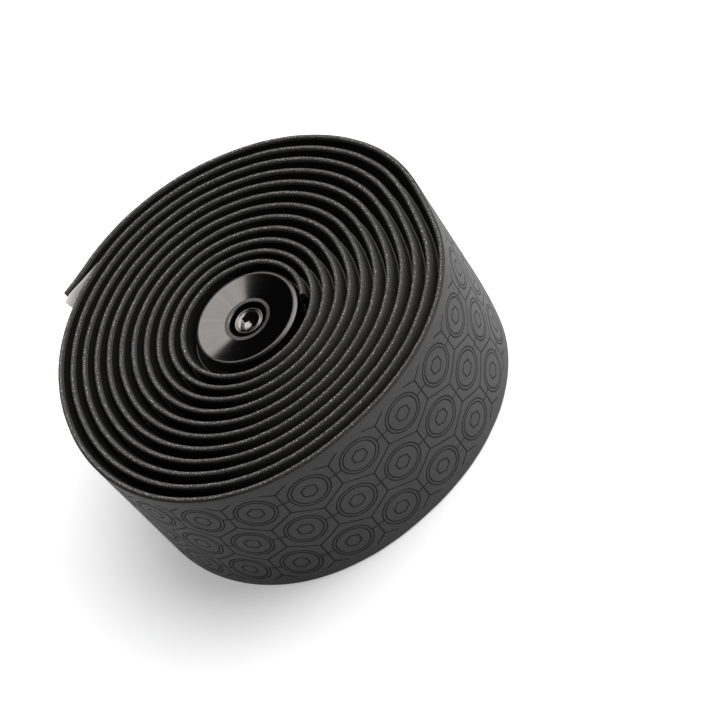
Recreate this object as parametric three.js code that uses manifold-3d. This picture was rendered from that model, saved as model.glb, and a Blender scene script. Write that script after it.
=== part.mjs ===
// A roll of handlebar tape standing on its end, with the bar end plug nested in its core.
// Millimetres, +Z up. The tape is one strip wound in a spiral; z = 0 is the edge that it stands on.

import * as THREE from 'three';
import { mergeVertices } from 'three/addons/utils/BufferGeometryUtils.js';
import Module from 'manifold-3d';

const wasm = await Module();
wasm.setup();

// Tape strip
const tapeWidth = 30;
const tapeThickness = 2.25; // in the outer turns
const coreThickness = 1.3; // where the winding starts, squeezed by its tight radius
const squeezeFade = 1.1; // turns over which the squeeze eases off
const edgeThickness = 1.0; // what the skived underside leaves at each long edge
const skiveWidth = 3.1; // width of the skived band along each long edge
const windings = 11.42;

// Release liner on the underside of the tape
const linerWidth = 23.6;
const linerThickness = 0.1;
const linerClearance = 0.06; // to the tape on either side of it
const linerOverhang = 1.9; // sticks out past the cut end of the tape
const linerRise = 2.9; // the loose end has crept up towards the top edge
const linerLooseTurns = 0.13;

// Shape of the wound roll, seen from above
const tailAngle = 158.2; // direction of the tape's outer end, in degrees from +X
const tailSpan = 10; // the last degrees of the tape stand off straight
const tailFlare = 0.35; // how far the tip springs out past a straight tangent
const coreOffset = new THREE.Vector2(0.93, -1.08); // centre of the first turn
const softFlats = [
  // where the outer turns have gone slack, as a direction, a half width and a depth
  { at: 22, width: 15, depth: 0.9 },
  { at: 98, width: 24, depth: 0.3 },
  { at: -52, width: 26, depth: 0.85 },
  { at: -154, width: 33, depth: 1.1 },
];
const stepsPerTurn = 48;

// End plug
const capRadius = 9.75;
const capClearance = 0.15; // to the first turn and its liner
const capRecess = 0.6; // rim below the tape's top edge
const rimWidth = 0.45; // flat part, between the chamfer and the dish
const rimChamfer = 0.3;
const flangeHeight = 2.7;
const dishDepth = 0.7;
const pocketRadius = 3.45; // counterbore for the bolt head
const pocketLandWidth = 0.9; // flat ring between the dish and the counterbore
const pocketChamfer = 0.2;
const neckRadius = 8.1;
const neckHeight = 2.2;
const coneRootRadius = 7.2; // thick end of each wedge
const coneTipRadius = 5.2; // thin end of each wedge
const coneHeight = 3.6;
const wedgeClearance = 0.3; // between each wedge and the sleeve
const sleeveRadius = 8.5;
const sleeveLength = 11;
const sleeveBore = 4.4;
const slitCount = 4; // from each end
const slitWidth = 1.3;
const slitStart = 20; // direction of the first slit, in degrees
const slitLength = 7.5;
const nutRimRadius = 7.8;
const nutRimHeight = 1.6;
const boltRadius = 2.0;
const boltHeadRadius = 2.7;
const boltHeadHeight = 2.6;
const boltHeadSink = 0.45; // head below the land round the counterbore
const boltClearance = 0.25;
const boltTipLength = 1.0;
const hexAcrossFlats = 3.0;
const hexDepth = 1.7;

const linerGap = linerThickness + 2 * linerClearance;
const pitch = tapeThickness + linerGap;
const coreRadius = capRadius + capClearance + linerGap;
const squeeze = (tapeThickness - coreThickness) / (1 - Math.exp(-1 / squeezeFade));
const rimZ = tapeWidth - capRecess;
const degrees = Math.PI / 180;

// The spiral. A place along the tape is given in turns from its inner end.

function angleAt(turn) {
  return (tailAngle - 360 * (windings - turn)) * degrees;
}

function flatAt(turn) {
  const slack = (turn / windings) ** 2;
  let depth = 0;
  for (const flat of softFlats) {
    const away = THREE.MathUtils.euclideanModulo(angleAt(turn) / degrees - flat.at + 180, 360) - 180;
    depth += flat.depth * Math.exp(-((away / flat.width) ** 2));
  }
  return slack * depth;
}

// The underside of the tape as it lies in the roll.
function undersideAt(turn) {
  const angle = angleAt(turn);
  const eased = squeeze * (1 - Math.exp(-turn / squeezeFade));
  const radius = coreRadius + pitch * turn - eased - flatAt(turn);
  const centre = coreOffset.clone().multiplyScalar(1 - turn / windings);
  return new THREE.Vector2(Math.cos(angle), Math.sin(angle)).multiplyScalar(radius).add(centre);
}

// How far the straight outer end stands off the turn below it.
function standOffAt(turn) {
  const past = (turn - (windings - tailSpan / 360)) * 360;
  if (past <= 0) return 0;
  const radius = coreRadius + pitch * windings;
  return radius * (1 / Math.cos(past * degrees) - 1) + tailFlare * (past / tailSpan) ** 2;
}

// Points across the tape: the underside, the top side and the direction from one to the other.
function stationAt(turn) {
  const angle = angleAt(turn);
  const outward = new THREE.Vector2(Math.cos(angle), Math.sin(angle));
  const standOff = outward.clone().multiplyScalar(standOffAt(turn));
  const underside = undersideAt(turn);
  const topSide = undersideAt(turn + 1).addScaledVector(outward, -linerGap);
  return { outward, underside: underside.add(standOff), topSide: topSide.add(standOff) };
}

function turnsTo(lastTurn) {
  const turns = [];
  for (let step = 0; step / stepsPerTurn < lastTurn - 1e-6; step++) {
    turns.push(step / stepsPerTurn);
  }
  const liftTurn = windings - tailSpan / 360;
  const kept = turns.filter((turn) => turn < liftTurn - 1e-3);
  return [...kept, liftTurn, lastTurn];
}

// A closed body through rings of points, each ring a convex outline of as many points.
function loft(rings) {
  const count = rings[0].length;
  const positions = rings.flat().flatMap((point) => [point.x, point.y, point.z]);
  const indices = [];
  for (let ring = 0; ring < rings.length - 1; ring++) {
    for (let side = 0; side < count; side++) {
      const next = (side + 1) % count;
      const [a, b] = [ring * count + side, ring * count + next];
      indices.push(a, b + count, b, a, a + count, b + count);
    }
  }
  const last = (rings.length - 1) * count;
  for (let corner = 1; corner < count - 1; corner++) {
    indices.push(0, corner, corner + 1);
    indices.push(last, last + corner + 1, last + corner);
  }
  const geometry = new THREE.BufferGeometry();
  geometry.setAttribute('position', new THREE.Float32BufferAttribute(positions, 3));
  geometry.setIndex(indices);
  geometry.computeVertexNormals();
  return geometry;
}

const at = (point, z) => new THREE.Vector3(point.x, point.y, z);

function tapeGeometry() {
  const rings = turnsTo(windings).map((turn) => {
    const { outward, underside, topSide } = stationAt(turn);
    const skived = topSide.clone().addScaledVector(outward, -edgeThickness);
    return [
      at(topSide, 0),
      at(topSide, tapeWidth),
      at(skived, tapeWidth),
      at(underside, tapeWidth - skiveWidth),
      at(underside, skiveWidth),
      at(skived, 0),
    ];
  });
  return loft(rings);
}

function linerGeometry() {
  const margin = (tapeWidth - linerWidth) / 2;
  const ringAt = (turn, along = 0) => {
    const { outward, underside } = stationAt(turn);
    const forward = new THREE.Vector2(-outward.y, outward.x);
    const loose = THREE.MathUtils.smoothstep(turn, windings - linerLooseTurns, windings);
    const outer = underside.clone().addScaledVector(outward, -linerClearance);
    const inner = outer.clone().addScaledVector(outward, -linerThickness);
    const low = margin + linerRise * loose;
    for (const point of [outer, inner]) point.addScaledVector(forward, along);
    return [at(outer, low), at(outer, low + linerWidth), at(inner, low + linerWidth), at(inner, low)];
  };
  const rings = turnsTo(windings).map((turn) => ringAt(turn));
  rings.push(ringAt(windings, linerOverhang));
  return loft(rings);
}

// Turned pieces of the plug

function turned(profile, segments = 56) {
  const points = profile.map(([radius, z]) => new THREE.Vector2(radius, z));
  const geometry = new THREE.LatheGeometry(points, segments);
  geometry.rotateX(Math.PI / 2);
  return geometry;
}

function toSolid(geometry) {
  const bare = geometry.clone();
  bare.deleteAttribute('normal');
  bare.deleteAttribute('uv');
  const merged = mergeVertices(bare, 1e-4);
  const mesh = new wasm.Mesh({
    numProp: 3,
    vertProperties: merged.attributes.position.array,
    triVerts: new Uint32Array(merged.index.array),
  });
  mesh.merge();
  return new wasm.Manifold(mesh);
}

function toGeometry(solid) {
  const mesh = solid.getMesh();
  const geometry = new THREE.BufferGeometry();
  geometry.setAttribute('position', new THREE.BufferAttribute(mesh.vertProperties, 3));
  geometry.setIndex(new THREE.BufferAttribute(mesh.triVerts, 1));
  geometry.computeVertexNormals();
  return geometry;
}

const landZ = rimZ - dishDepth;
const headTopZ = landZ - boltHeadSink;
const pocketFloorZ = headTopZ - boltHeadHeight - boltClearance;
const flangeBaseZ = rimZ - flangeHeight;
const wedgeTopZ = flangeBaseZ - neckHeight;
const wedgeSlope = (coneRootRadius - coneTipRadius) / coneHeight;
const sleeveTopZ = wedgeTopZ - wedgeClearance;
const sleeveBaseZ = sleeveTopZ - sleeveLength;
const nutTopZ = sleeveBaseZ - wedgeClearance + coneHeight;
const nutBaseZ = nutTopZ - coneHeight - nutRimHeight;

function endCapGeometry() {
  const holeRadius = boltRadius + boltClearance;
  const dishRadius = capRadius - rimChamfer - rimWidth;
  return turned([
    [holeRadius, pocketFloorZ],
    [holeRadius, wedgeTopZ - coneHeight],
    [coneTipRadius, wedgeTopZ - coneHeight],
    [coneRootRadius, wedgeTopZ],
    [neckRadius, wedgeTopZ],
    [neckRadius, flangeBaseZ],
    [capRadius, flangeBaseZ],
    [capRadius, rimZ - rimChamfer],
    [capRadius - rimChamfer, rimZ],
    [dishRadius, rimZ],
    [pocketRadius + pocketLandWidth, landZ],
    [pocketRadius + pocketChamfer, landZ],
    [pocketRadius, landZ - pocketChamfer],
    [pocketRadius, pocketFloorZ],
    [holeRadius, pocketFloorZ],
  ]);
}

function clampBoltGeometry() {
  const tipZ = nutBaseZ - boltTipLength;
  const blank = turned([
    [0, tipZ],
    [boltRadius - boltClearance, tipZ],
    [boltRadius, tipZ + boltClearance],
    [boltRadius, headTopZ - boltHeadHeight],
    [boltHeadRadius, headTopZ - boltHeadHeight],
    [boltHeadRadius, headTopZ - pocketChamfer],
    [boltHeadRadius - pocketChamfer, headTopZ],
    [0, headTopZ],
  ], 36);
  const socket = new THREE.CylinderGeometry(hexAcrossFlats / Math.sqrt(3), hexAcrossFlats / Math.sqrt(3),
    2 * hexDepth, 6);
  socket.rotateX(Math.PI / 2);
  socket.translate(0, 0, headTopZ);
  return toGeometry(toSolid(blank).subtract(toSolid(socket)));
}

// The sleeve is slit from both ends in turn, so that it opens evenly when the wedges draw together.
function splitSleeveGeometry() {
  const flare = coneRootRadius + wedgeClearance;
  const flareHeight = (flare - sleeveBore) / wedgeSlope;
  const blank = turned([
    [sleeveBore, sleeveBaseZ + flareHeight],
    [flare, sleeveBaseZ],
    [sleeveRadius, sleeveBaseZ],
    [sleeveRadius, sleeveTopZ],
    [flare, sleeveTopZ],
    [sleeveBore, sleeveTopZ - flareHeight],
    [sleeveBore, sleeveBaseZ + flareHeight],
  ], 40);
  let sleeve = toSolid(blank);
  for (let slit = 0; slit < 2 * slitCount; slit++) {
    const fromTop = slit % 2 === 0;
    const cutter = new THREE.BoxGeometry(sleeveRadius + 1, slitWidth, 2 * slitLength);
    cutter.translate((sleeveRadius + 1) / 2, 0, fromTop ? sleeveTopZ : sleeveBaseZ);
    cutter.rotateZ((slitStart + slit * 180 / slitCount) * degrees);
    sleeve = sleeve.subtract(toSolid(cutter));
  }
  return toGeometry(sleeve);
}

function wedgeNutGeometry() {
  const holeRadius = boltRadius + boltClearance;
  return turned([
    [holeRadius, nutBaseZ],
    [nutRimRadius, nutBaseZ],
    [nutRimRadius, nutBaseZ + nutRimHeight],
    [coneRootRadius, nutBaseZ + nutRimHeight],
    [coneTipRadius, nutTopZ],
    [holeRadius, nutTopZ],
    [holeRadius, nutBaseZ],
  ], 48);
}

// Materials and assembly

const foam = new THREE.MeshStandardMaterial({ color: '#3f3d3c', roughness: 0.62, metalness: 0 });
const film = new THREE.MeshStandardMaterial({ color: '#b9b5b0', roughness: 0.45, metalness: 0 });
const anodised = new THREE.MeshStandardMaterial({ color: '#1c1b1b', roughness: 0.3, metalness: 0.9 });
const blackSteel = new THREE.MeshStandardMaterial({ color: '#26262a', roughness: 0.35, metalness: 0.9 });
const nylon = new THREE.MeshStandardMaterial({ color: '#1e1e1f', roughness: 0.6, metalness: 0 });
const plainAlloy = new THREE.MeshStandardMaterial({ color: '#9a9b9d', roughness: 0.4, metalness: 0.9 });

function piece(name, geometry, material) {
  const mesh = new THREE.Mesh(geometry, material);
  mesh.name = name;
  return mesh;
}

const plug = new THREE.Group();
plug.add(
  piece('end_cap', endCapGeometry(), anodised),
  piece('clamp_bolt', clampBoltGeometry(), blackSteel),
  piece('split_sleeve', splitSleeveGeometry(), nylon),
  piece('wedge_nut', wedgeNutGeometry(), plainAlloy),
);
plug.position.set(coreOffset.x, coreOffset.y, 0);

const roll = new THREE.Group();
roll.add(
  piece('tape', tapeGeometry(), foam),
  piece('release_liner', linerGeometry(), film),
  plug,
);

// The origin is under the middle of the roll's box.
const box = new THREE.Box3().setFromObject(roll);
const middle = box.getCenter(new THREE.Vector3());
roll.position.set(-middle.x, -middle.y, 0);

export default roll;
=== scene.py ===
import math

import bmesh
import bpy
import numpy as np
from mathutils import Euler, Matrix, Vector


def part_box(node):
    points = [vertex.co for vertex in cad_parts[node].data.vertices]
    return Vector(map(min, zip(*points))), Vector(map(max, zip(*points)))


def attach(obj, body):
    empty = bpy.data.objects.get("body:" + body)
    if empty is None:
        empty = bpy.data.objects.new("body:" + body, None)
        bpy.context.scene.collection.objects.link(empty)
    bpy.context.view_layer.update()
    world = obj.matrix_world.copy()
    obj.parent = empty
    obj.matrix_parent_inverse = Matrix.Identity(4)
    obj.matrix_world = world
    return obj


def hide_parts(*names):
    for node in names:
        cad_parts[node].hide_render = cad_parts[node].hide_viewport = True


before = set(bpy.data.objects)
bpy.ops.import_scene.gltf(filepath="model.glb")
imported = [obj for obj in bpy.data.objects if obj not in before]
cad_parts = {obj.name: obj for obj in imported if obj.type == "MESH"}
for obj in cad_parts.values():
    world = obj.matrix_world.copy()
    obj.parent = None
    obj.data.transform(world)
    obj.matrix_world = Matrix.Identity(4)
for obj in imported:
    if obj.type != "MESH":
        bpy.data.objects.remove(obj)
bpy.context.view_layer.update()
mm = 0.001
print("frame loaded")


# meshes and shader nodes

def meshObject(name, points, faces, materials):
    mesh = bpy.data.meshes.new(name)
    mesh.from_pydata((np.asarray(points, float) * mm).tolist(), [], faces)
    for material in materials:
        mesh.materials.append(material)
    mesh.polygons.foreach_set("use_smooth", [True] * len(mesh.polygons))
    mesh.update()
    obj = bpy.data.objects.new(name, mesh)
    bpy.context.scene.collection.objects.link(obj)
    return obj


def newMaterial(name):
    material = bpy.data.materials.new(name)
    material.use_nodes = True
    return material, material.node_tree, material.node_tree.nodes["Principled BSDF"]


def addNode(tree, kind, inputs=None, **settings):
    node = tree.nodes.new(kind)
    for key, value in settings.items():
        setattr(node, key, value)
    for socket, value in (inputs or {}).items():
        feed(tree, node.inputs[socket], value)
    return node


def feed(tree, socket, value):
    # a socket takes a link, a number or a colour
    if isinstance(value, bpy.types.NodeSocket):
        tree.links.new(value, socket)
    elif isinstance(value, tuple) and socket.type == "RGBA":
        socket.default_value = (*value, 1)
    else:
        socket.default_value = value


def mathNode(tree, operation, *values, clamp=False):
    node = addNode(tree, "ShaderNodeMath", operation=operation, use_clamp=clamp)
    for index, value in enumerate(values):
        feed(tree, node.inputs[index], value)
    return node.outputs[0]


def vectorNode(tree, operation, *values):
    node = addNode(tree, "ShaderNodeVectorMath", operation=operation)
    for index, value in enumerate(values):
        feed(tree, node.inputs[index], value)
    return node.outputs["Value"] if operation in ("LENGTH", "DOT_PRODUCT") else node.outputs[0]


def smoothRange(tree, value, fromLow, fromHigh, low=0.0, high=1.0):
    node = addNode(tree, "ShaderNodeMapRange", interpolation_type="SMOOTHSTEP", inputs={
        "Value": value, "From Min": fromLow, "From Max": fromHigh, "To Min": low, "To Max": high})
    return node.outputs["Result"]


def mixColour(tree, factor, first, second):
    node = addNode(tree, "ShaderNodeMix", data_type="RGBA")
    for index, value in ((0, factor), (6, first), (7, second)):
        feed(tree, node.inputs[index], value)
    return node.outputs[2]


def splitVector(tree, vector):
    return addNode(tree, "ShaderNodeSeparateXYZ", inputs={0: vector}).outputs


def objectPlace(tree):
    return addNode(tree, "ShaderNodeTexCoord").outputs["Object"]


def toned(colour, factor):
    return tuple(factor * part for part in colour)


def addBumps(tree, shader, *layers):
    # each layer: height, strength and depth in millimetres; the first lies lowest
    normal = None
    for height, strength, depth in layers:
        bump = addNode(tree, "ShaderNodeBump", inputs={
            "Height": height, "Strength": strength, "Distance": depth * mm})
        if normal is not None:
            feed(tree, bump.inputs["Normal"], normal)
        normal = bump.outputs[0]
    feed(tree, shader.inputs["Normal"], normal)


def newGroup(name, inputs, outputs, kind="ShaderNodeTree"):
    group = bpy.data.node_groups.new(name, kind)
    for label, socketKind, default in inputs:
        socket = group.interface.new_socket(
            label, in_out="INPUT", socket_type="NodeSocket" + socketKind)
        if default is not None:
            socket.default_value = default
    for label, socketKind in outputs:
        group.interface.new_socket(label, in_out="OUTPUT", socket_type="NodeSocket" + socketKind)
    return group, group.nodes.new("NodeGroupInput"), group.nodes.new("NodeGroupOutput")


def placeGroup(tree, group, **values):
    node = addNode(tree, "ShaderNodeGroup", node_tree=group)
    for label, value in values.items():
        feed(tree, node.inputs[label], value)
    return node


def bakeNodes(name, base, group, values):
    # runs the node tree on a small base mesh and gives back the result as a plain mesh
    modifier = base.modifiers.new("shape", "NODES")
    modifier.node_group = group
    for item in group.interface.items_tree:
        if item.item_type == "SOCKET" and item.in_out == "INPUT" and item.name in values:
            modifier[item.identifier] = values[item.name]
    depsgraph = bpy.context.evaluated_depsgraph_get()
    mesh = bpy.data.meshes.new_from_object(
        base.evaluated_get(depsgraph), preserve_all_data_layers=True, depsgraph=depsgraph)
    base.modifiers.remove(modifier)
    bpy.data.objects.remove(base)
    mesh.name = name
    obj = bpy.data.objects.new(name, mesh)
    bpy.context.scene.collection.objects.link(obj)
    return obj


# camera, floor and lights

view = {
    "position": (132.70, -199.06, 260.97),  # from the lens fitted to the photograph
    "turn": (36.126, 24.375, 1.660),  # degrees
    "lens": 97.3,
}

camera = bpy.data.objects.new("camera", bpy.data.cameras.new("camera"))
camera.location = Vector(view["position"]) * mm
camera.rotation_euler = Euler([math.radians(angle) for angle in view["turn"]])
camera.data.lens = view["lens"]
camera.data.sensor_width = 36
camera.data.clip_start = 0.01
bpy.context.scene.collection.objects.link(camera)
bpy.context.scene.camera = camera

studio = {
    "floorColour": (0.82, 0.82, 0.82),
    "floorReach": 3000,
    "floorRoughness": 0.9,
    "floorSpecular": 0.1,
    "floorLift": 0.4,  # share of white that the camera sees under any shadow
    "liftFull": (0.12, 0.5),  # metres from the roll over which that share rises to white
    "worldColour": (0.02, 0.02, 0.0205),
    # directions in degrees, distances and sizes in metres, powers in watts
    "lamps": [
        {"name": "overhead softbox", "azimuth": 68, "elevation": 58,
         "distance": 0.6, "size": 0.78, "power": 6.0},
        {"name": "side softbox", "azimuth": 8, "elevation": 26,
         "distance": 0.6, "size": 0.6, "power": 3.0},
    ],
}


def addLamp(name, azimuth, elevation, distance, size, power):
    light = bpy.data.objects.new(name, bpy.data.lights.new(name, "AREA"))
    light.data.shape = "DISK"
    light.data.size = size
    light.data.energy = power
    level = math.radians(elevation)
    heading = math.radians(azimuth)
    across = math.cos(level)
    towards = Vector((across * math.cos(heading), across * math.sin(heading), math.sin(level)))
    light.location = towards * distance
    light.rotation_euler = towards.to_track_quat("Z", "Y").to_euler()
    bpy.context.scene.collection.objects.link(light)


for row in studio["lamps"]:
    addLamp(**row)

world = bpy.data.worlds.new("studio")
world.use_nodes = True
feed(world.node_tree, world.node_tree.nodes["Background"].inputs["Color"], studio["worldColour"])
bpy.context.scene.world = world

floorMaterial, floorTree, floorShader = newMaterial("paleFloor")
feed(floorTree, floorShader.inputs["Base Color"], studio["floorColour"])
floorShader.inputs["Roughness"].default_value = studio["floorRoughness"]
floorShader.inputs["Specular IOR Level"].default_value = studio["floorSpecular"]
floorShader.inputs["Emission Color"].default_value = (1, 1, 1, 1)
rays = addNode(floorTree, "ShaderNodeLightPath").outputs
seen = mathNode(floorTree, "MAXIMUM", rays["Is Camera Ray"], rays["Is Glossy Ray"])
seen = mathNode(floorTree, "MAXIMUM", seen, rays["Is Transmission Ray"])
fromRoll = vectorNode(floorTree, "LENGTH", objectPlace(floorTree))
lift = smoothRange(floorTree, fromRoll, *studio["liftFull"], studio["floorLift"], 1.0)
feed(floorTree, floorShader.inputs["Emission Strength"], mathNode(floorTree, "MULTIPLY", seen, lift))
reach = studio["floorReach"]
floorCorners = [(-reach, -reach, 0), (reach, -reach, 0), (reach, reach, 0), (-reach, reach, 0)]
meshObject("floor", floorCorners, [(0, 1, 2, 3)], [floorMaterial])
bpy.context.scene.view_settings.view_transform = "Standard"
print("camera, floor and lights placed")


# effects that more than one finish uses

def buildSpeckle():
    group, source, result = newGroup(
        "foamSpeckle",
        [("Vector", "Vector", None), ("Scale", "Float", 5.0), ("Threshold", "Float", 0.52)],
        [("Mask", "Float"), ("Height", "Float")])
    noise = addNode(group, "ShaderNodeTexNoise", inputs={
        "Vector": source.outputs["Vector"], "Scale": source.outputs["Scale"],
        "Detail": 3.0, "Roughness": 0.7})
    above = mathNode(group, "SUBTRACT", noise.outputs[0], source.outputs["Threshold"])
    feed(group, result.inputs["Mask"], mathNode(group, "MULTIPLY", above, 8.0, clamp=True))
    feed(group, result.inputs["Height"], noise.outputs[0])
    return group


def buildGrain():
    group, source, result = newGroup(
        "coatGrain",
        [("Vector", "Vector", None), ("Scale", "Float", 3.0)],
        [("Shade", "Float"), ("Height", "Float")])
    broad = addNode(group, "ShaderNodeTexNoise", inputs={
        "Vector": source.outputs["Vector"], "Scale": 0.12, "Detail": 2.0})
    fine = addNode(group, "ShaderNodeTexNoise", inputs={
        "Vector": source.outputs["Vector"], "Scale": source.outputs["Scale"], "Detail": 2.0})
    feed(group, result.inputs["Shade"], broad.outputs[0])
    feed(group, result.inputs["Height"], fine.outputs[0])
    return group


foamSpeckle = buildSpeckle()
coatGrain = buildGrain()


def stripCoordinate(tree):
    # millimetres along the tape and round its section
    return addNode(tree, "ShaderNodeUVMap", uv_map="strip").outputs[0]


# the wound tape, on the same spiral as the solid

roll = {
    "width": 30.0,
    "thickness": 2.25,
    "coreThickness": 1.3,
    "squeezeFade": 1.1,
    "edge": 1.0,  # thickness left at the cut edges
    "midGap": 0.01,  # from mid-height to the section's nearest corners on the underside
    "skive": 3.1,  # depth of the skived band
    "windings": 11.42,
    "linerGap": 0.22,
    "coreRadius": 10.12,
    "tailAngle": 158.2,
    "tailSpan": 10.0,
    "tailFlare": 0.35,
    "coreOffset": (0.93, -1.08, 0.0),
    "softFlats": [(22.0, 15.0, 0.9), (98.0, 24.0, 0.3), (-52.0, 26.0, 0.85), (-154.0, 33.0, 1.1)],
    "stepsPerTurn": 270.0,
    "edgeWander": 0.05,  # how far the thin edges stray sideways
    "edgeDip": 0.06,  # and down
    "seed": 7.0,
    "faceColour": (0.038, 0.0362, 0.0362),
    "crestHighlight": 0.34,  # how far round from the top side's corner the painted highlight on the cut edge is brightest
    # the cut edge's colour at its middle carries a painted highlight, and the shoulder colour is painted
    # shade
    "cutColour": (0.052, 0.050, 0.0475),
    "shoulderShadeColour": (0.028, 0.027, 0.026),
    "grainColour": (0.55, 0.53, 0.505),
    # the underside's near-black colour is partly the dark foam's own and partly painted shade of the narrow
    # gaps between turns
    "foamAndGapShadeColour": (0.005, 0.0049, 0.0048),
    # each bump: strength, and depth in millimetres
    "coat": {"grainScale": 2.6, "fineShare": 0.7, "darkest": 0.3, "palest": 1.9, "roughness": (0.50, 0.62),
             "specular": 0.28, "lineBump": (0.9, 0.16), "grainBump": (0.6, 0.07)},
    "cut": {"grainScale": 3.6, "threshold": 0.54, "crestFade": (0.05, 0.42), "leastGrain": 0.1,
            "roughness": 0.8, "specular": 0.15, "bump": (0.9, 0.15)},
    "foam": {"grainScale": 4.5, "threshold": 0.6, "palest": 2.2,
             "roughness": 0.9, "specular": 0.08, "bump": (0.6, 0.1)},
}
spiralSizes = {
    "Windings": roll["windings"],
    "Thickness": roll["thickness"],
    "Core Thickness": roll["coreThickness"],
    "Squeeze Fade": roll["squeezeFade"],
    "Liner Gap": roll["linerGap"],
    "Core Radius": roll["coreRadius"],
    "Tail Angle": roll["tailAngle"],
    "Core Offset": roll["coreOffset"],
}
for number, flat in enumerate(roll["softFlats"], 1):
    spiralSizes[f"Flat {number}"] = flat  # direction, half width, depth
capLow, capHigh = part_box("end_cap")
capCentre = np.array([capLow[0] + capHigh[0], capLow[1] + capHigh[1]]) / 2 / mm


def namedInputs(sizes):
    kinds = {float: "Float", tuple: "Vector"}
    return [(label, kinds[type(value)], None) for label, value in sizes.items()]


def vectorOf(tree, x, y, z=0.0):
    return addNode(tree, "ShaderNodeCombineXYZ", inputs={0: x, 1: y, 2: z}).outputs[0]


def buildSpiralPoint():
    # the underside of the tape as it lies in the roll, and the direction away from the core
    tree, source, result = newGroup(
        "spiralPoint", [("Turn", "Float", None)] + namedInputs(spiralSizes),
        [("Point", "Vector"), ("Outward", "Vector")], "GeometryNodeTree")
    size = source.outputs
    turn = size["Turn"]
    share = mathNode(tree, "DIVIDE", turn, size["Windings"])
    back = mathNode(tree, "MULTIPLY", mathNode(tree, "SUBTRACT", size["Windings"], turn), 360.0)
    heading = mathNode(tree, "SUBTRACT", size["Tail Angle"], back)
    angle = mathNode(tree, "RADIANS", heading)
    outward = vectorOf(tree, mathNode(tree, "COSINE", angle), mathNode(tree, "SINE", angle))
    slack = 0.0
    for number in range(1, len(roll["softFlats"]) + 1):
        flat = splitVector(tree, size[f"Flat {number}"])
        away = mathNode(tree, "WRAP", mathNode(tree, "SUBTRACT", heading, flat[0]), 180.0, -180.0)
        beside = mathNode(tree, "ABSOLUTE", mathNode(tree, "DIVIDE", away, flat[1]))
        steep = mathNode(tree, "POWER", beside, 2.0)
        fade = mathNode(tree, "EXPONENT", mathNode(tree, "MULTIPLY", steep, -1.0))
        slack = mathNode(tree, "MULTIPLY_ADD", fade, flat[2], slack)
    slack = mathNode(tree, "MULTIPLY", slack, mathNode(tree, "MULTIPLY", share, share))

    def easedOver(turns):
        shrink = mathNode(tree, "EXPONENT", mathNode(tree, "DIVIDE", turns, size["Squeeze Fade"]))
        return mathNode(tree, "SUBTRACT", 1.0, shrink)

    squeeze = mathNode(tree, "DIVIDE", mathNode(tree, "SUBTRACT", size["Thickness"], size["Core Thickness"]),
                       easedOver(-1.0))
    eased = mathNode(tree, "MULTIPLY", squeeze, easedOver(mathNode(tree, "MULTIPLY", turn, -1.0)))
    pitch = mathNode(tree, "ADD", size["Thickness"], size["Liner Gap"])
    radius = mathNode(tree, "MULTIPLY_ADD", pitch, turn, size["Core Radius"])
    radius = mathNode(tree, "SUBTRACT", mathNode(tree, "SUBTRACT", radius, eased), slack)
    centre = vectorNode(tree, "MULTIPLY", size["Core Offset"], mathNode(tree, "SUBTRACT", 1.0, share))
    feed(tree, result.inputs["Point"], vectorNode(tree, "MULTIPLY_ADD", outward, radius, centre))
    feed(tree, result.inputs["Outward"], outward)
    return tree


coreX, coreY, coreZ = roll["coreOffset"]
stripSizes = {
    "Centre": (float(capCentre[0] - coreX), float(capCentre[1] - coreY), coreZ),
    "Tail Span": roll["tailSpan"],
    "Tail Flare": roll["tailFlare"],
    "Steps Per Turn": roll["stepsPerTurn"],
    "Width": roll["width"],
    "Skive": roll["skive"],
    "Edge Wander": 0.0,
    "Edge Dip": 0.0,
    "Seed": 0.0,
    "Rise": 0.0,
    "Loose Turns": 0.1,
    "Overhang": 0.0,
    "Lean": 0.0,
    "Lean From": 0.0,
}


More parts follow.
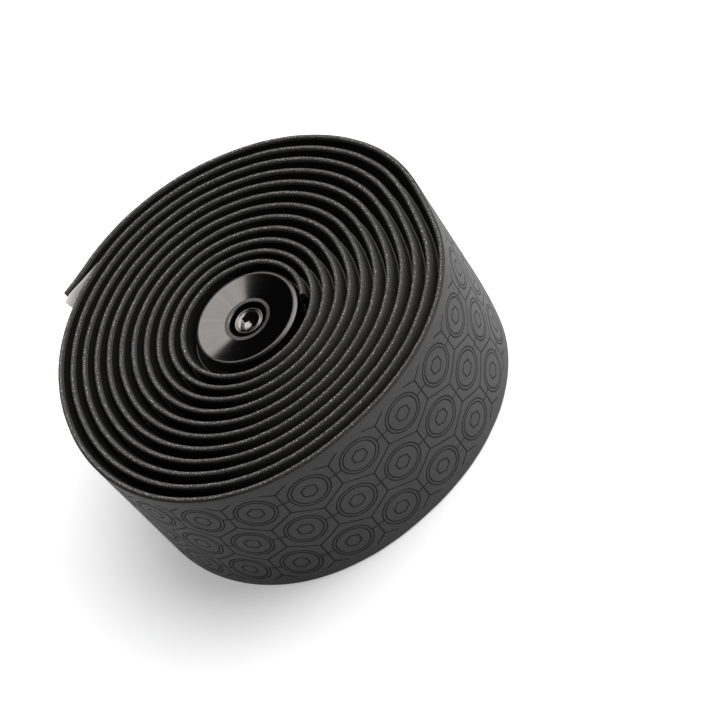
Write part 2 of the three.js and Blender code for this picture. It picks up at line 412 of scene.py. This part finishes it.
def buildWoundStrip(spiralPoint):
    # carries a section along the spiral. A section point's x is its depth in millimetres, its y the share
    # of the way from the top side to the underside, and its z the height over the floor.
    finishes = [("Coat", "Material", None), ("Cut", "Material", None), ("Foam", "Material", None)]
    sizes = namedInputs({**spiralSizes, **stripSizes})
    tree, source, result = newGroup(
        "woundStrip", [("Section", "Geometry", None)] + sizes + finishes,
        [("Strip", "Geometry")], "GeometryNodeTree")
    size = source.outputs

    def keep(geometry, name, value, kind="FLOAT_VECTOR", domain="POINT"):
        return addNode(tree, "GeometryNodeStoreNamedAttribute", data_type=kind, domain=domain, inputs={
            "Geometry": geometry, "Name": name, "Value": value}).outputs[0]

    def kept(name, kind="FLOAT_VECTOR"):
        return addNode(tree, "GeometryNodeInputNamedAttribute", data_type=kind, inputs={
            "Name": name}).outputs[0]

    def pointAt(turn):
        node = addNode(tree, "GeometryNodeGroup", node_tree=spiralPoint, inputs={"Turn": turn})
        for label in spiralSizes:
            feed(tree, node.inputs[label], size[label])
        return node.outputs

    pitch = mathNode(tree, "ADD", size["Thickness"], size["Liner Gap"])
    fullRadius = mathNode(tree, "MULTIPLY_ADD", pitch, size["Windings"], size["Core Radius"])
    turnLength = mathNode(tree, "MULTIPLY", fullRadius, 2 * math.pi)
    reach = mathNode(tree, "ADD", size["Windings"], mathNode(tree, "DIVIDE", size["Overhang"], turnLength))
    steps = mathNode(tree, "ROUND", mathNode(tree, "MULTIPLY", reach, size["Steps Per Turn"]))
    line = addNode(tree, "GeometryNodeMeshLine", inputs={
        "Count": mathNode(tree, "ADD", steps, 1.0)}).outputs[0]
    path = addNode(tree, "GeometryNodeMeshToCurve", inputs={0: line}).outputs[0]

    index = addNode(tree, "GeometryNodeInputIndex").outputs[0]
    wholeTurn = mathNode(tree, "MULTIPLY", mathNode(tree, "DIVIDE", index, steps), reach)
    turn = mathNode(tree, "MINIMUM", wholeTurn, size["Windings"])
    past = mathNode(tree, "MULTIPLY", mathNode(tree, "SUBTRACT", wholeTurn, turn), turnLength)
    here = pointAt(turn)
    above = pointAt(mathNode(tree, "ADD", turn, 1.0))
    outward = here["Outward"]
    forward = vectorNode(tree, "CROSS_PRODUCT", (0.0, 0.0, 1.0), outward)
    fromTail = mathNode(tree, "MULTIPLY", mathNode(tree, "SUBTRACT", turn, size["Windings"]), 360.0)
    lifted = mathNode(tree, "MAXIMUM", mathNode(tree, "ADD", fromTail, size["Tail Span"]), 0.0)
    straight = mathNode(tree, "DIVIDE", 1.0, mathNode(tree, "COSINE", mathNode(tree, "RADIANS", lifted)))
    straight = mathNode(tree, "MULTIPLY", fullRadius, mathNode(tree, "SUBTRACT", straight, 1.0))
    flare = mathNode(tree, "POWER", mathNode(tree, "DIVIDE", lifted, size["Tail Span"]), 2.0)
    standOff = mathNode(tree, "MULTIPLY_ADD", flare, size["Tail Flare"], straight)
    shift = vectorNode(tree, "MULTIPLY_ADD", forward, past, size["Centre"])
    shift = vectorNode(tree, "MULTIPLY_ADD", outward, standOff, shift)
    topSide = vectorNode(tree, "ADD", above["Point"], shift)
    topSide = vectorNode(tree, "SUBTRACT", topSide, vectorNode(tree, "MULTIPLY", outward, size["Liner Gap"]))
    path = keep(path, "turn", turn, "FLOAT")
    path = keep(path, "outward", outward)
    path = keep(path, "underside", vectorNode(tree, "ADD", here["Point"], shift))
    path = keep(path, "topSide", topSide)
    path = addNode(tree, "GeometryNodeSetPosition", inputs={
        "Geometry": path, "Position": kept("topSide")}).outputs[0]
    walked = addNode(tree, "GeometryNodeSplineParameter").outputs["Length"]
    whole = addNode(tree, "GeometryNodeSplineLength").outputs["Length"]
    fromOuterEnd = mathNode(tree, "SUBTRACT", walked, whole)
    path = keep(path, "along", fromOuterEnd, "FLOAT")

    outline = addNode(tree, "GeometryNodeMeshToCurve", inputs={0: size["Section"]}).outputs[0]
    strip = addNode(tree, "GeometryNodeCurveToMesh", inputs={
        "Curve": path, "Profile Curve": outline, "Fill Caps": True}).outputs[0]

    depth, share, height = splitVector(tree, kept("section"))
    along = kept("along", "FLOAT")
    fromEdge = mathNode(tree, "MINIMUM", height, mathNode(tree, "SUBTRACT", size["Width"], height))
    loose = mathNode(tree, "SUBTRACT", 1.0, mathNode(tree, "DIVIDE", fromEdge, size["Skive"]), clamp=True)
    upper = mathNode(tree, "GREATER_THAN", height, mathNode(tree, "MULTIPLY", size["Width"], 0.5))
    # the two edges read the noise far apart, and its usual swing is stretched to about one
    edgesApart = 50.0
    trackStep = 17.0
    noiseStretch = 4.0
    track = mathNode(tree, "MULTIPLY_ADD", upper, edgesApart, size["Seed"])

    def strayAlong(perMillimetre, offset, amount):
        walk = mathNode(tree, "MULTIPLY_ADD", along, perMillimetre, offset)
        place = mathNode(tree, "MULTIPLY_ADD", track, trackStep, walk)
        noise = addNode(tree, "ShaderNodeTexNoise", noise_dimensions="1D", inputs={
            "W": place, "Scale": 1.0, "Detail": 2.0}).outputs[0]
        stray = mathNode(tree, "MULTIPLY", mathNode(tree, "SUBTRACT", noise, 0.5), noiseStretch)
        return mathNode(tree, "MULTIPLY", mathNode(tree, "MULTIPLY", stray, amount), loose)

    sideways = strayAlong(perMillimetre=0.06, offset=3.0, amount=size["Edge Wander"])
    down = strayAlong(perMillimetre=0.11, offset=9.0, amount=size["Edge Dip"])
    down = mathNode(tree, "ABSOLUTE", down)
    across = vectorNode(tree, "SUBTRACT", kept("underside"), kept("topSide"))
    place = vectorNode(tree, "MULTIPLY_ADD", across, share, kept("topSide"))
    looseFrom = mathNode(tree, "SUBTRACT", size["Windings"], size["Loose Turns"])
    fromLoose = mathNode(tree, "SUBTRACT", kept("turn", "FLOAT"), looseFrom)
    freed = mathNode(tree, "DIVIDE", fromLoose, size["Loose Turns"], clamp=True)
    risen = mathNode(tree, "MULTIPLY", freed, size["Rise"])
    level = mathNode(tree, "ADD", height, risen)
    pastLean = mathNode(tree, "SUBTRACT", level, size["Lean From"])
    leanShare = mathNode(tree, "DIVIDE", pastLean, size["Rise"], clamp=True)
    inward = mathNode(tree, "ADD", depth, mathNode(tree, "ABSOLUTE", sideways))
    inward = mathNode(tree, "SUBTRACT", inward, mathNode(tree, "MULTIPLY", leanShare, size["Lean"]))
    place = vectorNode(tree, "SUBTRACT", place, vectorNode(tree, "MULTIPLY", kept("outward"), inward))
    level = mathNode(tree, "MULTIPLY_ADD", down, mathNode(tree, "MULTIPLY_ADD", upper, -2.0, 1.0), level)
    place = vectorNode(tree, "ADD", place, vectorOf(tree, 0.0, 0.0, level))
    strip = addNode(tree, "GeometryNodeSetPosition", inputs={
        "Geometry": strip, "Position": vectorNode(tree, "MULTIPLY", place, (mm, mm, mm))}).outputs[0]

    # the two ends are single faces with many corners; their pattern runs across the cut
    corners = addNode(tree, "GeometryNodeInputMeshFaceNeighbors").outputs["Vertex Count"]
    isEnd = mathNode(tree, "GREATER_THAN", corners, 4.5)
    deepness = mathNode(tree, "MULTIPLY_ADD", share, size["Thickness"], depth)
    pattern = addNode(tree, "ShaderNodeMix", data_type="VECTOR")
    feed(tree, pattern.inputs[0], isEnd)
    feed(tree, pattern.inputs[4], vectorOf(tree, along, kept("around", "FLOAT")))
    feed(tree, pattern.inputs[5], vectorOf(tree, deepness, height))
    strip = keep(strip, "strip", pattern.outputs[1], "FLOAT2", "CORNER")
    rounded = addNode(tree, "GeometryNodeSetShadeSmooth", inputs={"Geometry": strip}).outputs[0]
    strip = addNode(tree, "GeometryNodeRealizeInstances", inputs={"Geometry": rounded}).outputs[0]

    zone = mathNode(tree, "FLOOR", mathNode(tree, "ADD", kept("finish", "FLOAT"), 0.1))
    zone = mathNode(tree, "MULTIPLY_ADD", isEnd, mathNode(tree, "SUBTRACT", 1.0, zone), zone)
    # finish 0 is the coat, 1 the cut edge and 2 the foam
    for label, below in (("Foam", 3.0), ("Cut", 1.5), ("Coat", 0.5)):
        strip = addNode(tree, "GeometryNodeSetMaterial", inputs={
            "Geometry": strip, "Selection": mathNode(tree, "LESS_THAN", zone, below),
            "Material": size[label]}).outputs[0]
    feed(tree, result.inputs["Strip"], strip)
    return tree


woundStrip = buildWoundStrip(buildSpiralPoint())


def sectionMesh(name, points, zones, anchor):
    # a closed outline. The pattern's height equals the height over the floor at the anchor point.
    mesh = bpy.data.meshes.new(name)
    count = len(points)
    edges = [(corner, (corner + 1) % count) for corner in range(count)]
    mesh.from_pydata(points, edges, [])
    spots = np.array([(depth + share * roll["thickness"], height) for depth, share, height in points])
    walked = np.concatenate([[0], np.cumsum(np.linalg.norm(np.diff(spots, axis=0), axis=1))])
    around = points[anchor][2] + walked[anchor] - walked
    mesh.attributes.new("section", "FLOAT_VECTOR", "POINT").data.foreach_set("vector", np.ravel(points))
    mesh.attributes.new("around", "FLOAT", "POINT").data.foreach_set("value", around)
    mesh.attributes.new("finish", "FLOAT", "POINT").data.foreach_set("value", np.array(zones, float))
    obj = bpy.data.objects.new(name, mesh)
    bpy.context.scene.collection.objects.link(obj)
    return obj


def finishStrip(piece, node):
    for name in ("turn", "outward", "underside", "topSide", "along", "section", "around", "finish"):
        piece.data.attributes.remove(piece.data.attributes[name])
    piece.data.set_sharp_from_angle(angle=math.radians(50))
    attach(piece, "root")
    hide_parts(node)


pressed = {
    "cell": 9.8,
    "line": 0.25,
    "lineEdge": (0.3, 0.75),  # where a line fades, in line widths from its middle
    "reach": 12.6,  # how far from mid-height the lines go
    # the lines' darkening and near-black colour are painted shade in the pressed grooves
    "grooveShade": 0.72,
    "colour": (0.004, 0.004, 0.004),
    # distances from a cell's middle, as shares of the cell
    "cellSide": 0.5,
    "rings": (0.37, 0.31),
    "smallCell": 0.13,
}


def buildPressedLines():
    # a net of six-sided cells, each with a ring and a smaller cell inside it
    group, source, result = newGroup(
        "pressedLines", [("Vector", "Vector", None), ("Cell", "Float", None), ("Width", "Float", None)],
        [("Line", "Float"), ("Height", "Float")])
    scaled = vectorNode(group, "DIVIDE", source.outputs["Vector"], source.outputs["Cell"])
    repeat = (1.0, math.sqrt(3), 1.0)

    def cellCentre(start):
        low = tuple(-step / 2 for step in repeat)
        high = tuple(step / 2 for step in repeat)
        return vectorNode(group, "WRAP", start, high, low)

    first = cellCentre(scaled)
    second = cellCentre(vectorNode(group, "SUBTRACT", scaled, (0.5, math.sqrt(3) / 2, 0.0)))
    fromFirst = vectorNode(group, "LENGTH", first)
    nearer = mathNode(group, "LESS_THAN", fromFirst, vectorNode(group, "LENGTH", second))
    pick = addNode(group, "ShaderNodeMix", data_type="VECTOR")
    feed(group, pick.inputs[0], nearer)
    feed(group, pick.inputs[4], second)
    feed(group, pick.inputs[5], first)
    inCell = vectorNode(group, "ABSOLUTE", pick.outputs[1])
    besideAxis, fromAxis, _ = splitVector(group, inCell)
    slanted = vectorNode(group, "DOT_PRODUCT", inCell, (0.5, math.sqrt(3) / 2, 0.0))
    hexagon = mathNode(group, "MAXIMUM", slanted, besideAxis)
    ring = vectorNode(group, "LENGTH", inCell)
    lineWidth = mathNode(group, "DIVIDE", source.outputs["Width"], source.outputs["Cell"])

    def drawn(offset):
        widthsAway = mathNode(group, "DIVIDE", offset, lineWidth)
        return smoothRange(group, widthsAway, *pressed["lineEdge"], 1.0, 0.0)

    outlines = [(hexagon, pressed["cellSide"]), (hexagon, pressed["smallCell"])]
    outlines += [(ring, radius) for radius in pressed["rings"]]
    lines = 0.0
    for distance, place in outlines:
        offset = mathNode(group, "ABSOLUTE", mathNode(group, "SUBTRACT", distance, place))
        lines = mathNode(group, "MAXIMUM", lines, drawn(offset))
    # short links from each ring to its neighbours'
    outside = mathNode(group, "GREATER_THAN", ring, max(pressed["rings"]))
    lines = mathNode(group, "MAXIMUM", lines, mathNode(group, "MULTIPLY", drawn(fromAxis), outside))
    feed(group, result.inputs["Line"], lines)
    feed(group, result.inputs["Height"], mathNode(group, "MULTIPLY", lines, -1.0))
    return group


def fromMidHeight(tree, strip):
    offset = mathNode(tree, "SUBTRACT", splitVector(tree, strip)[1], roll["width"] / 2)
    return mathNode(tree, "ABSOLUTE", offset)


def coatedFace():
    coat = roll["coat"]
    material, tree, shader = newMaterial("coatedFace")
    strip = stripCoordinate(tree)
    grain = placeGroup(tree, coatGrain, Vector=strip, Scale=coat["grainScale"])
    inField = mathNode(tree, "LESS_THAN", fromMidHeight(tree, strip), pressed["reach"])
    centred = vectorNode(tree, "SUBTRACT", strip, (0.0, roll["width"] / 2, 0.0))
    lines = placeGroup(tree, buildPressedLines(), Vector=centred,
                       Cell=pressed["cell"], Width=pressed["line"])
    line = mathNode(tree, "MULTIPLY", lines.outputs["Line"], inField)
    relief = mathNode(tree, "MULTIPLY", lines.outputs["Height"], inField)
    broad = mathNode(tree, "MULTIPLY", grain.outputs["Shade"], 1 - coat["fineShare"])
    mottle = mathNode(tree, "MULTIPLY_ADD", grain.outputs["Height"], coat["fineShare"], broad)
    shade = mixColour(tree, mottle, toned(roll["faceColour"], coat["darkest"]),
                      toned(roll["faceColour"], coat["palest"]))
    # painted shade: the pressed lines are darkened in colour as if shaded in their grooves
    grooveShadeShare = mathNode(tree, "MULTIPLY", line, pressed["grooveShade"])
    feed(tree, shader.inputs["Base Color"], mixColour(tree, grooveShadeShare, shade, pressed["colour"]))
    roughness = smoothRange(tree, grain.outputs["Height"], 0.3, 0.7, *coat["roughness"])
    feed(tree, shader.inputs["Roughness"], mathNode(tree, "MAXIMUM", roughness, line))
    shader.inputs["Specular IOR Level"].default_value = coat["specular"]
    addBumps(tree, shader, (relief, *coat["lineBump"]), (grain.outputs["Height"], *coat["grainBump"]))
    return material


def cutEdge():
    # pale foam grains, thickest along the middle of the edge, over a painted highlight along that middle and
    # painted shade on the shoulders
    cut = roll["cut"]
    material, tree, shader = newMaterial("cutEdge")
    strip = stripCoordinate(tree)
    crestPlace = roll["width"] / 2 + roll["crestHighlight"]
    fromCrest = mathNode(tree, "SUBTRACT", fromMidHeight(tree, strip), crestPlace)
    crestHighlight = smoothRange(tree, mathNode(tree, "ABSOLUTE", fromCrest), *cut["crestFade"], 1.0, 0.0)
    grains = placeGroup(tree, foamSpeckle, Vector=strip, Scale=cut["grainScale"], Threshold=cut["threshold"])
    # painted highlight along the middle of the edge, fading to painted shade on its shoulders; the grains
    # thin out with it
    bare = mixColour(tree, crestHighlight, roll["shoulderShadeColour"], roll["cutColour"])
    density = mathNode(tree, "MULTIPLY_ADD", crestHighlight, 1 - cut["leastGrain"], cut["leastGrain"])
    amount = mathNode(tree, "MULTIPLY", grains.outputs["Mask"], density)
    feed(tree, shader.inputs["Base Color"], mixColour(tree, amount, bare, roll["grainColour"]))
    shader.inputs["Roughness"].default_value = cut["roughness"]
    shader.inputs["Specular IOR Level"].default_value = cut["specular"]
    addBumps(tree, shader, (grains.outputs["Height"], *cut["bump"]))
    return material


def foamUnderside():
    foam = roll["foam"]
    material, tree, shader = newMaterial("foamUnderside")
    grains = placeGroup(tree, foamSpeckle, Vector=stripCoordinate(tree),
                        Scale=foam["grainScale"], Threshold=foam["threshold"])
    # painted shade: the underside's colour is partly the dark foam's own and partly painted shade of the
    # gaps between turns
    palest = toned(roll["foamAndGapShadeColour"], foam["palest"])
    feed(tree, shader.inputs["Base Color"],
         mixColour(tree, grains.outputs["Mask"], roll["foamAndGapShadeColour"], palest))
    shader.inputs["Roughness"].default_value = foam["roughness"]
    shader.inputs["Specular IOR Level"].default_value = foam["specular"]
    addBumps(tree, shader, (grains.outputs["Height"], *foam["bump"]))
    return material


def tapeSection():
    # depth as a share of the edge, share of the skived step, distance from the cut edge, and finish:
    # 0 coated face, 1 cut edge, 2 foam underside
    half = [
        (0.0, 0.0, 6.0, 0), (0.0, 0.0, 1.4, 0), (0.0, 0.0, 0.7, 0), (0.02, 0.0, 0.42, 1),
        (0.09, 0.0, 0.23, 1), (0.2, 0.0, 0.1, 1), (0.34, 0.0, 0.025, 1), (0.5, 0.0, 0.0, 1),
        (0.66, 0.0, 0.025, 1), (0.8, 0.0, 0.1, 1), (0.93, 0.0, 0.25, 1), (0.99, 0.05, 0.5, 2),
        (1.0, 0.3, 1.3, 2), (1.0, 0.7, 2.3, 2), (1.0, 1.0, roll["skive"] + 0.2, 2),
        (1.0, 1.0, roll["width"] / 2 - roll["midGap"], 2),
    ]
    lower = [(depth * roll["edge"] * (1 - share), share, fromEdge) for depth, share, fromEdge, _ in half]
    upper = [(depth, share, roll["width"] - fromEdge) for depth, share, fromEdge in lower]
    zones = [row[3] for row in half]
    return sectionMesh("tape section", upper[::-1] + lower, zones[::-1] + zones, len(half) - 1)


tapePiece = bakeNodes("wound_tape", tapeSection(), woundStrip, {
    **spiralSizes, **stripSizes,
    "Edge Wander": roll["edgeWander"], "Edge Dip": roll["edgeDip"], "Seed": roll["seed"],
    "Coat": coatedFace(), "Cut": cutEdge(), "Foam": foamUnderside(),
})
finishStrip(tapePiece, "tape")
print("tape wound:", len(tapePiece.data.polygons), "faces")


# the release liner on the underside, with its loose end

liner = {
    "width": 23.6,
    "thickness": 0.1,
    "clearance": 0.06,
    "overhang": 1.9,  # past the cut end of the tape
    "rise": 2.9,  # of the loose end towards the top edge
    "looseTurns": 0.12,
    "lean": 1.05,  # of the loose end's top edge, out along the skived band
    "paleLength": 11.0,  # the film is pale along its loose end and painted dark as shade where it is wound in between the turns
    "colour": (0.70, 0.685, 0.67),
    # the film's colour where it is wound in: painted shade of the gaps between turns
    "woundFilmShadeColour": (0.10, 0.098, 0.095),
    "paleFull": 0.6,  # share of that length from which it is wholly pale
    "cloudScale": 300.0,
    "cloudTone": 0.9,
    "roughness": 0.42,
    "bump": (0.15, 0.1),
    "bends": 4,  # levels over which the loose end bends
}


def linerFilm():
    material, tree, shader = newMaterial("linerFilm")
    cloud = addNode(tree, "ShaderNodeTexNoise", inputs={
        "Vector": objectPlace(tree), "Scale": liner["cloudScale"], "Detail": 2.0}).outputs[0]
    fromEnd = splitVector(tree, stripCoordinate(tree))[0]
    pale = smoothRange(tree, fromEnd, -liner["paleLength"], -liner["paleFull"] * liner["paleLength"])
    loose = mixColour(tree, cloud, toned(liner["colour"], liner["cloudTone"]), liner["colour"])
    # painted shade: the wound-in film takes a dark colour, and only its loose end is pale
    feed(tree, shader.inputs["Base Color"], mixColour(tree, pale, liner["woundFilmShadeColour"], loose))
    shader.inputs["Roughness"].default_value = liner["roughness"]
    addBumps(tree, shader, (cloud, *liner["bump"]))
    return material


linerLow = (roll["width"] - liner["width"]) / 2
linerHigh = linerLow + liner["width"]
linerBack = liner["clearance"] + liner["thickness"]
linerLevels = [linerLow] + [linerHigh - liner["rise"] * step / liner["bends"]
                            for step in range(liner["bends"], -1, -1)]
linerOutline = [(linerBack, 1.0, level) for level in linerLevels]
linerOutline += [(liner["clearance"], 1.0, level) for level in linerLevels[::-1]]
linerSection = sectionMesh("liner section", linerOutline, [0] * len(linerOutline), len(linerLevels))
film = linerFilm()
linerPiece = bakeNodes("liner_film", linerSection, woundStrip, {
    **spiralSizes, **stripSizes,
    "Rise": liner["rise"], "Loose Turns": liner["looseTurns"], "Overhang": liner["overhang"],
    "Lean": liner["lean"], "Lean From": linerHigh,
    "Coat": film, "Cut": film, "Foam": film,
})
finishStrip(linerPiece, "release_liner")
print("liner wound")


# the plug

cap = {
    "rim": 29.4,  # height of the rim over the floor
    "radius": 9.75,
    "rimWidth": 0.3,
    "rimChamfer": 0.45,  # across
    "rimDrop": 0.28,  # and down
    "flange": 2.7,
    "dish": 0.7,
    "pocket": 3.45,
    "land": 0.9,
    "pocketFloor": 25.4,
    "neck": 8.1,
    "neckHeight": 2.2,
    "coneRoot": 7.2,
    "coneTip": 5.2,
    "coneHeight": 3.6,
    "hole": 2.25,
    "colour": (0.075, 0.0705, 0.068),
    "roughness": 0.1,
    "anisotropy": 0.3,
    "lineScale": 4000.0,
    "dishBand": (4.3, 8.97),  # inner and outer radius of the bright turned dish
}
bolt = {
    "radius": 2.0,
    "head": 2.7,
    "headTop": 28.25,
    "headHeight": 2.6,
    "tip": 10.3,
    "hex": 3.0,
    "hexDepth": 1.35,
    "colour": (0.13, 0.125, 0.12),
    "roughness": 0.17,
    "anisotropy": 0.2,
    "lineScale": 6000.0,
}
turning = {
    "rayScale": 7.0,
    "rayShare": 0.8,  # of the streaks along the radius; the rest are round the axis
    "tones": (0.7, 1.3),
    "roughness": (0.8, 1.2),  # shares of the metal's own roughness
    "satin": 0.3,  # roughness of the lands beside the dish
    "bump": (0.15, 0.01),
}


def roundedProfile(corners, steps=4):
    # corners: radius, height and fillet; a closed outline
    outline = []
    count = len(corners)
    for index, (radius, height, fillet) in enumerate(corners):
        here = np.array([radius, height])
        if fillet == 0:
            outline.append(here)
            continue
        before = np.array(corners[index - 1][:2]) - here
        after = np.array(corners[(index + 1) % count][:2]) - here
        start = here + before / np.linalg.norm(before) * fillet
        end = here + after / np.linalg.norm(after) * fillet
        for step in range(steps + 1):
            t = step / steps
            outline.append(start * (1 - t) ** 2 + here * 2 * t * (1 - t) + end * t * t)
    return outline


def turnedPiece(name, outline, material, segments=192, closed=True):
    angles = np.arange(segments) * 2 * np.pi / segments
    rings = []
    for radius, height in outline:
        radii = radius(angles) if callable(radius) else np.full(segments, float(radius))
        across = radii * np.cos(angles) + capCentre[0]
        along = radii * np.sin(angles) + capCentre[1]
        rings.append(np.column_stack([across, along, np.full(segments, float(height))]))
    points = np.concatenate(rings)
    faces = []
    last = len(rings) if closed else len(rings) - 1
    for ring in range(last):
        following = (ring + 1) % len(rings)
        for side in range(segments):
            nextSide = (side + 1) % segments
            faces.append((ring * segments + side, ring * segments + nextSide,
                          following * segments + nextSide, following * segments + side))
    if not closed:
        faces.append(tuple(range(segments)))
        faces.append(tuple((len(rings) - 1) * segments + side for side in range(segments)))
    obj = meshObject(name, points, faces, [material])
    edit = bmesh.new()
    edit.from_mesh(obj.data)
    bmesh.ops.recalc_face_normals(edit, faces=edit.faces)
    edit.to_mesh(obj.data)
    edit.free()
    return obj


def turnedMetal(name, colour, roughness, anisotropy, lineScale, dishBand=(0.0, 1000.0)):
    # turning lines and soft streaks round the plug's axis
    material, tree, shader = newMaterial(name)
    centre = (capCentre[0] * mm, capCentre[1] * mm, 0.0)
    centred = vectorNode(tree, "SUBTRACT", objectPlace(tree), centre)
    flattened = vectorNode(tree, "MULTIPLY", centred, (1.0, 1.0, 0.0))
    radius = vectorNode(tree, "LENGTH", flattened)
    lines = addNode(tree, "ShaderNodeTexNoise", noise_dimensions="1D", inputs={
        "W": radius, "Scale": lineScale, "Detail": 2.0}).outputs[0]
    rays = addNode(tree, "ShaderNodeTexNoise", inputs={
        "Vector": vectorNode(tree, "NORMALIZE", flattened), "Scale": turning["rayScale"],
        "Detail": 5.0, "Roughness": 0.65}).outputs[0]
    rounds = mathNode(tree, "MULTIPLY", lines, 1 - turning["rayShare"])
    streaks = mathNode(tree, "MULTIPLY_ADD", rays, turning["rayShare"], rounds)
    darker, paler = [toned(colour, tone) for tone in turning["tones"]]
    feed(tree, shader.inputs["Base Color"], mixColour(tree, streaks, darker, paler))
    shader.inputs["Metallic"].default_value = 1.0
    smoother, rougher = [roughness * part for part in turning["roughness"]]
    turnedRoughness = smoothRange(tree, lines, 0.3, 0.7, smoother, rougher)
    inner, outer = [edge * mm for edge in dishBand]
    outside = mathNode(tree, "MAXIMUM", mathNode(tree, "LESS_THAN", radius, inner),
                       mathNode(tree, "GREATER_THAN", radius, outer))
    rest = mathNode(tree, "SUBTRACT", turning["satin"], turnedRoughness)
    feed(tree, shader.inputs["Roughness"], mathNode(tree, "MULTIPLY_ADD", outside, rest, turnedRoughness))
    shader.inputs["Anisotropic"].default_value = anisotropy
    tangent = addNode(tree, "ShaderNodeTangent", direction_type="RADIAL", axis="Z")
    feed(tree, shader.inputs["Tangent"], tangent.outputs[0])
    addBumps(tree, shader, (lines, *turning["bump"]))
    return material


def finishOf(settings):
    return [settings[key] for key in ("colour", "roughness", "anisotropy", "lineScale")]


dishEdge = cap["radius"] - cap["rimChamfer"] - cap["rimWidth"]
landHeight = cap["rim"] - cap["dish"]
flangeBase = cap["rim"] - cap["flange"]
wedgeTop = flangeBase - cap["neckHeight"]
capOutline = roundedProfile([
    (cap["hole"], cap["pocketFloor"], 0),
    (cap["hole"], wedgeTop - cap["coneHeight"], 0),
    (cap["coneTip"], wedgeTop - cap["coneHeight"], 0.1),
    (cap["coneRoot"], wedgeTop, 0.05),
    (cap["neck"], wedgeTop, 0.15),
    (cap["neck"], flangeBase, 0.1),
    (cap["radius"], flangeBase, 0.25),
    (cap["radius"], cap["rim"] - cap["rimDrop"], 0.06),
    (cap["radius"] - cap["rimChamfer"], cap["rim"], 0.03),
    (dishEdge, cap["rim"], 0.06),
    (cap["pocket"] + cap["land"], landHeight, 0.08),
    (cap["pocket"] + 0.2, landHeight, 0.04),
    (cap["pocket"], landHeight - 0.2, 0.04),
    (cap["pocket"], cap["pocketFloor"], 0),
])
anodised = turnedMetal("blackAnodised", *finishOf(cap), dishBand=cap["dishBand"])
capPiece = turnedPiece("dished_cap", capOutline, anodised, 256)
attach(capPiece, "root")
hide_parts("end_cap")


def hexRadius(angles):
    sector = np.pi / 3
    return bolt["hex"] / 2 / np.cos((angles + sector / 2) % sector - sector / 2)


headTop = bolt["headTop"]
headBase = headTop - bolt["headHeight"]
socketRim = bolt["hex"] / math.sqrt(3) + 0.04
# radius and height: tip, shank, head, its flat outer ring, its groove, its cone and the socket
boltOutline = [
    (bolt["radius"] - 0.25, bolt["tip"]), (bolt["radius"], bolt["tip"] + 0.25),
    (bolt["radius"], headBase), (bolt["head"] - 0.1, headBase),
    (bolt["head"], headBase + 0.1), (bolt["head"], headTop - 0.2),
    (bolt["head"] - 0.03, headTop - 0.08), (bolt["head"] - 0.09, headTop - 0.01),
    (bolt["head"] - 0.13, headTop), (bolt["head"] - 0.32, headTop),
    (bolt["head"] - 0.35, headTop - 0.03), (bolt["head"] - 0.37, headTop - 0.16),
    (bolt["head"] - 0.52, headTop - 0.16), (bolt["head"] - 0.55, headTop - 0.05),
    (bolt["head"] - 0.63, headTop - 0.04), (socketRim, headTop - 0.3),
    (hexRadius, headTop - 0.34), (hexRadius, headTop - bolt["hexDepth"]),
]
blackSteel = turnedMetal("blackSteel", *finishOf(bolt))
boltPiece = turnedPiece("socket_bolt", boltOutline, blackSteel, 96, closed=False)
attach(boltPiece, "root")
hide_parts("clamp_bolt")


nylon = {
    "colours": ((0.018, 0.018, 0.018), (0.028, 0.028, 0.029)),
    "cloudScale": 1500.0,
    "roughness": 0.55,
    "bump": (0.3, 0.05),
}
alloy = {
    "colour": (0.62, 0.62, 0.63),
    "roughness": 0.3,
    "anisotropy": 0.4,
    "lineScale": 5000.0,
}


def mouldedNylon():
    material, tree, shader = newMaterial("mouldedNylon")
    cloud = addNode(tree, "ShaderNodeTexNoise", inputs={
        "Vector": objectPlace(tree), "Scale": nylon["cloudScale"], "Detail": 2.0}).outputs[0]
    feed(tree, shader.inputs["Base Color"], mixColour(tree, cloud, *nylon["colours"]))
    shader.inputs["Roughness"].default_value = nylon["roughness"]
    addBumps(tree, shader, (cloud, *nylon["bump"]))
    return material


hiddenFinishes = (("split_sleeve", mouldedNylon()),
                  ("wedge_nut", turnedMetal("plainAlloy", *finishOf(alloy))))
for node, material in hiddenFinishes:
    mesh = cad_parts[node].data
    mesh.materials.clear()
    mesh.materials.append(material)
print("plug built")
